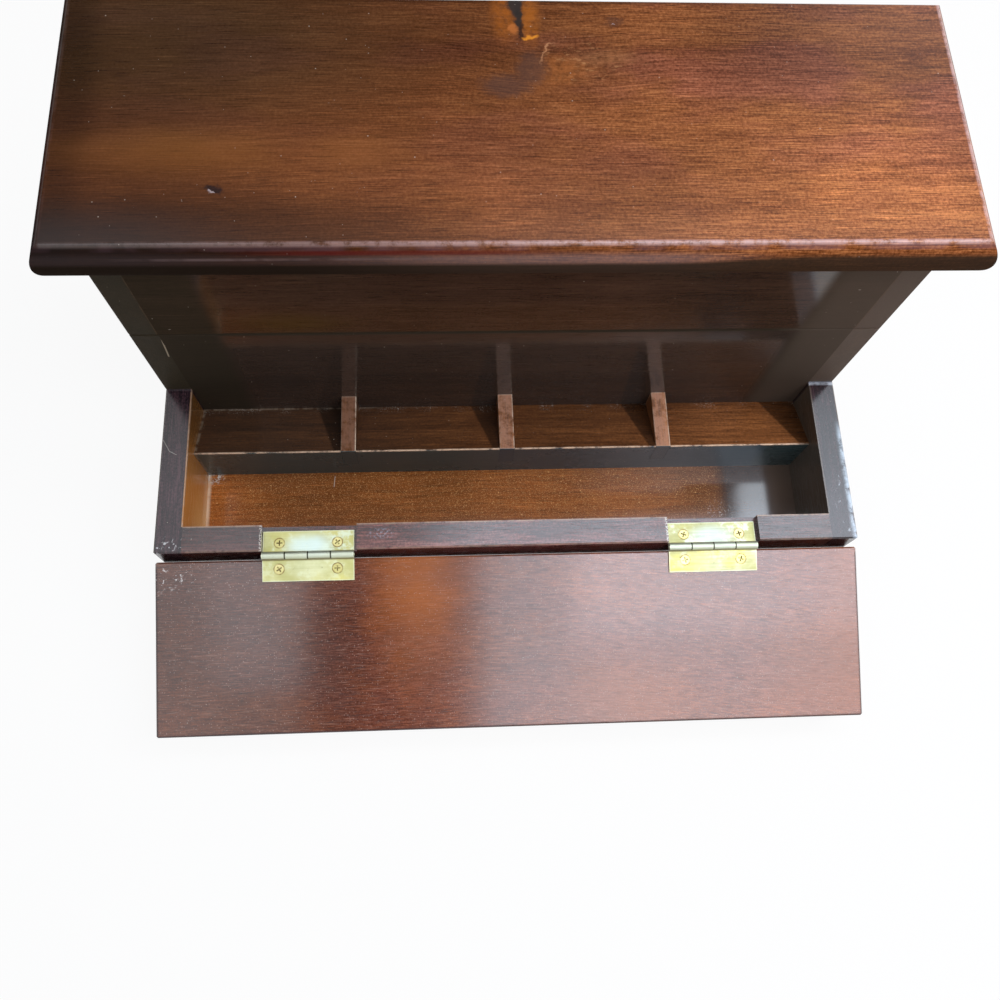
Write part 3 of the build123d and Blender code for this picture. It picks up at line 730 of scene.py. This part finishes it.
# ---- Brass and steel ----
BRASS = (0.56, 0.56, 0.29)
STEEL = (0.50, 0.51, 0.44)
SCREW = (0.64, 0.58, 0.27)
TARNISH = (0.16, 0.12, 0.05)
KNUCKLES = 4
KNUCKLE_RADIUS = 0.0016       # metres
SCREW_GAP = 0.003             # corners further apart than this along X are of different screws


class Metal(Graph):
    """Hinge metal: brushed along X, with smears and small tarnish spots.

    With a node's name it also has that node's corners and places, with what the flap carries turned level.
    """

    def __init__(self, name, colour, roughness, seed, node=None):
        super().__init__(bpy.data.materials.new(name))
        place = self.shift(self.place, seed)
        self.brushed = self.noise(self.stretch(place, (60.0, 1800.0, 1800.0)), 1.0, 3.0, 0.6)
        self.spots = self.smooth(self.noise(place, 420.0, 3.0, 0.6), 0.66, 0.74)
        pale = tuple(min(1.0, 1.12 * c + 0.02) for c in colour)
        dull = tuple(0.86 * c for c in colour[:2]) + (0.70 * colour[2],)
        self.colour = self.mix(self.smooth(self.noise(place, 75.0, 4.0, 0.6), 0.35, 0.65), dull, pale)
        self.tarnish(self.spots, 0.4)
        self.roughness = roughness
        if node:
            self.level, corners = lie_flat(self, node)
            self.low, self.high = span(corners)
            self.corners = corners
            self.x, self.y, self.z = self.axes(self.level)

    def tarnish(self, mask, amount, colour=TARNISH):
        self.colour = self.mix(self.product(mask, amount), self.colour, colour)

    def close(self):
        rough = self.smooth(self.brushed, 0.3, 0.7, self.roughness * 0.85, self.roughness * 1.15)
        rough = self.add(rough, self.spots, 0.15)
        shader = self.node("BsdfPrincipled", {
            "Base Color": self.colour, "Metallic": 1.0, "Roughness": rough,
            "Normal": self.bump(self.brushed, 0.2, 0.00008)})
        return self.finish(shader.outputs[0])


def dress_leaf(node, seed):
    """A flap hinge's leaf: pale edges, a middle and knuckles painted pale and silvery as reflections of the sky,
    right leaves painted darker as shade, and dark seams.
    """
    leaf = Metal("brass_" + node, BRASS, 0.55, seed, node)
    on_rail, right = node.startswith("rail"), node.endswith("right")
    off = leaf.math("ABSOLUTE", leaf.math("SUBTRACT", leaf.y, FLAP_PIN.y))
    knuckle = leaf.smooth(off, KNUCKLE_RADIUS - 0.00015, KNUCKLE_RADIUS + 0.00005, 1.0, 0.0)
    middle = (leaf.low + leaf.high) / 2
    # Painted reflection of the sky: a pale bluish middle, strongest on the level rail leaves.
    pale = leaf.smooth(leaf.reach(middle, (0.011, 0.006, 0.02), leaf.level), 0.3, 1.2, 1.0, 0.0)
    leaf.tarnish(pale, (0.6 if right else 0.95) if on_rail else 0.15, (0.68, 0.82, 0.75))
    # Painted shade: the right leaves darker and a little bluer, against the brighter lamps there.
    leaf.colour = leaf.mix(1.0, leaf.colour, (0.80, 0.80, 0.90) if right else (1.0, 0.98, 1.0), "MULTIPLY")
    gold = leaf.smooth(leaf.noise(leaf.shift(leaf.place, seed), 60.0, 3.0), 0.46, 0.60)
    leaf.tarnish(gold, 0.20 if on_rail else 0.50, (0.70, 0.64, 0.16))
    cloudy = leaf.smooth(leaf.noise(leaf.shift(leaf.place, seed), 150.0, 4.0, 0.7), 0.50, 0.64)
    leaf.tarnish(cloudy, 0.65 if on_rail else 0.20, (0.70, 0.80, 0.68))
    # Painted reflection of the sky: the knuckles silvery.
    leaf.tarnish(knuckle, 0.80, (0.58, 0.63, 0.54))
    ends = leaf.math("MINIMUM", leaf.math("SUBTRACT", leaf.x, leaf.low.x), leaf.math("SUBTRACT", leaf.high.x, leaf.x))
    edge = leaf.math("MINIMUM", ends, leaf.math("SUBTRACT", leaf.high.y - leaf.low.y - KNUCKLE_RADIUS, off))
    leaf.tarnish(leaf.smooth(edge, 0.0001, 0.0005, 1.0, 0.0), 0.45, (0.80, 0.82, 0.66))
    leaf.tarnish(leaf.band(off, KNUCKLE_RADIUS + 0.00015, 0.00045), 0.75)
    pitch = (leaf.high.x - leaf.low.x) / KNUCKLES
    for i in range(1, KNUCKLES):
        seam = leaf.band(leaf.x, leaf.low.x + i * pitch, 0.00040)
        leaf.tarnish(leaf.product(seam, knuckle), 0.95, (0.04, 0.035, 0.02))
    dress(node, leaf.close())


def dress_screws(node, seed):
    """A row of flush screws: a dark ring where each head meets its seat, and a dark cross recess, both partly grime
    and partly painted shade.
    """
    screws = Metal("screws_" + node, SCREW, 0.45, seed, node)
    places = sorted(screws.corners, key=lambda c: c.x)
    groups = [[places[0]]]
    for place in places[1:]:
        if place.x - groups[-1][-1].x > SCREW_GAP:
            groups.append([])
        groups[-1].append(place)
    reach = None
    for group in groups:
        low, high = span(group)
        away = screws.reach(((low.x + high.x) / 2, (low.y + high.y) / 2, high.z), (1.0, 1.0, 1000.0), screws.level)
        reach = screws.math("MINIMUM", reach, away) if reach else away
    radius = (high.y - low.y) / 2
    grime_and_shade = screws.smooth(screws.noise(screws.shift(screws.place, seed), 520.0, 3.0, 0.6), 0.35, 0.6, 0.35, 1.0)
    ring = screws.smooth(reach, radius - 0.00060, radius - 0.00012)
    screws.tarnish(screws.product(ring, grime_and_shade), 0.90, (0.17, 0.09, 0.03))
    recess = screws.smooth(screws.z, screws.high.z - 0.00025, screws.high.z - 0.00008, 1.0, 0.0)
    screws.tarnish(screws.product(recess, grime_and_shade), 0.90, (0.12, 0.08, 0.03))
    dress(node, screws.close())


def dress_metal():
    """The flap's hinges in a material for each piece, and the lid's hinges and all pins in shared ones."""
    shared = {"leaf": Metal("hinge_brass", BRASS, 0.55, (0.0, 0.0, 0.0)).close(),
              "pin": Metal("pin_steel", STEEL, 0.45, (0.6, 0.2, 0.1)).close()}
    for i, node in enumerate(sorted(nodes)):
        seed = (0.31 * i, 0.17 * i, 0.23 * i)
        if "screws" in node:
            dress_screws(node, seed)
        elif "leaf" in node and node.startswith(("rail", "flap")):
            dress_leaf(node, seed)
        elif "leaf" in node:
            dress(node, shared["leaf"])
        elif "pin" in node:
            dress(node, shared["pin"])


# ---- Studio ----
AMBIENT = 0.25                # strength of the world for the rays that light the object
BACKDROP_SHARE = 0.92         # of the floor that is plain white to the eye, the rest keeps the shadow
CEILING = 0.8
CARD_Z = CEILING - 0.02       # cards hang just under the lamps
# Lamps in the ceiling: low and high corners, radiance and colour. Each is named after what mirrors it.
LAMPS = (
    ("sky_front", (0.14, -0.40), (0.66, -0.10), 4.9, (0.84, 0.88, 1.0)),
    ("sky_low", (0.14, -0.62), (0.66, -0.40), 2.9, (0.86, 0.89, 1.0)),
    ("sky_edge", (0.02, -0.62), (0.14, -0.10), 2.8, (0.75, 0.86, 1.0)),
    ("sky_rail", (-0.04, 0.06), (0.62, 0.20), 4.8, (0.78, 0.86, 1.0)),
    ("sky_back", (0.04, 0.20), (0.62, 0.36), 2.8, (0.76, 0.88, 1.0)),
    ("sky_left", (-0.33, -0.46), (-0.19, 0.31), 1.26, (0.82, 0.84, 0.94)),
    ("sky_far", (-0.66, -0.68), (-0.33, 0.31), 0.35, (0.76, 0.87, 1.0)))


def sees_backdrop(g):
    """1 for camera, glossy and transmission rays, and 0 for the rays that light the object."""
    rays = g.node("LightPath").outputs
    seen = g.math("MAXIMUM", rays["Is Camera Ray"], rays["Is Glossy Ray"])
    return g.math("MAXIMUM", seen, rays["Is Transmission Ray"])


def make_world():
    """White to the eye and in mirrors, and dimmer as a light."""
    world = bpy.data.worlds.new("studio")
    scene.world = world
    g = Graph(world)
    strength = g.add(AMBIENT, sees_backdrop(g), 1.0 - AMBIENT)
    sky = g.node("Background", {"Color": (1.0, 1.0, 1.0, 1.0), "Strength": strength})
    g.node("OutputWorld", {"Surface": sky.outputs[0]})


def make_floor():
    """White ground that keeps a soft shadow of the object."""
    g = Graph(bpy.data.materials.new("floor_white"))
    paper = g.noise(g.place, 40.0, 3.0)
    tone = g.smooth(paper, 0.0, 1.0, 0.86, 0.90)
    matte = g.node("BsdfDiffuse", {"Color": g.join(tone, tone, tone)}).outputs[0]
    glow = g.node("Emission", {"Color": (1.0, 1.0, 1.0, 1.0), "Strength": 1.0}).outputs[0]
    share = g.product(sees_backdrop(g), BACKDROP_SHARE)
    surface = g.node("MixShader", {0: share, 1: matte, 2: glow}).outputs[0]
    floor = level_sheet("floor", (-3.0, -3.0), (3.0, 3.0), 0.0, g.finish(surface))


def level_sheet(name, low, high, z, material):
    """A level rectangle between two corners."""
    (x0, y0), (x1, y1) = low, high
    mesh = bpy.data.meshes.new(name)
    mesh.from_pydata([(x0, y0, z), (x1, y0, z), (x1, y1, z), (x0, y1, z)], [], [(0, 1, 2, 3)])
    mesh.materials.append(material)
    sheet = bpy.data.objects.new(name, mesh)
    scene.collection.objects.link(sheet)
    return sheet


def soft_light(name, place, size, radiance, colour, aim=None):
    """A rectangular lamp of one radiance. It faces straight down, or towards what it aims at."""
    data = bpy.data.lights.new(name, "AREA")
    data.shape = "RECTANGLE"
    data.size, data.size_y = size
    data.energy = radiance * math.pi * size[0] * size[1]
    data.color = colour
    light = bpy.data.objects.new(name, data)
    light.location = place
    if aim:
        light.rotation_mode = "QUATERNION"
        light.rotation_quaternion = (Vector(place) - Vector(aim)).to_track_quat("Z", "Y")
    light.visible_camera = False
    scene.collection.objects.link(light)


def dark_card(name, low, high, z, lean=0.0, glow=0.0):
    """A level black card that only reflections see.

    lean moves its near edge along X, and glow is the strength of the grey at its far right corner.
    """
    g = Graph(bpy.data.materials.new(name))
    x, y, _ = g.axes(g.place)
    corner = g.product(g.smooth(x, 0.30, 0.60), g.smooth(y, 0.48, 0.72))
    grey = g.node("Emission", {"Color": (0.80, 0.86, 1.0, 1.0), "Strength": g.product(corner, glow)})
    card = level_sheet(name, low, high, z, g.finish(grey.outputs[0]))
    for vertex in card.data.vertices[:2]:
        vertex.co.x += lean
    card.visible_camera = card.visible_diffuse = card.visible_shadow = card.visible_transmission = False


def make_studio():
    """World, floor, level lamps, one key lamp from the right, and two cards over the upper side of the lid."""
    make_world()
    make_floor()
    for name, low, high, radiance, colour in LAMPS:
        centre = [(a + b) / 2 for a, b in zip(low, high)]
        size = [b - a for a, b in zip(low, high)]
        soft_light(name, (*centre, CEILING), size, radiance, colour)
    soft_light("key", (0.75, 0.05, 0.75), (0.30, 0.30), 10.0, (1.0, 0.95, 0.88), aim=(0.0, 0.0, 0.05))
    dark_card("card_middle", (-0.180, -0.85), (0.02, 0.05), CARD_Z, lean=-0.06)
    dark_card("card_back", (-1.6, 0.38), (1.6, 2.2), CARD_Z, glow=0.9)


make_camera()
dress_top()
dress_ledge()
dress_case()
dress_trough()
dress_tray()
dress_dividers()
dress_flap()
dress_metal()
make_studio()
scene.view_settings.view_transform = "Standard"
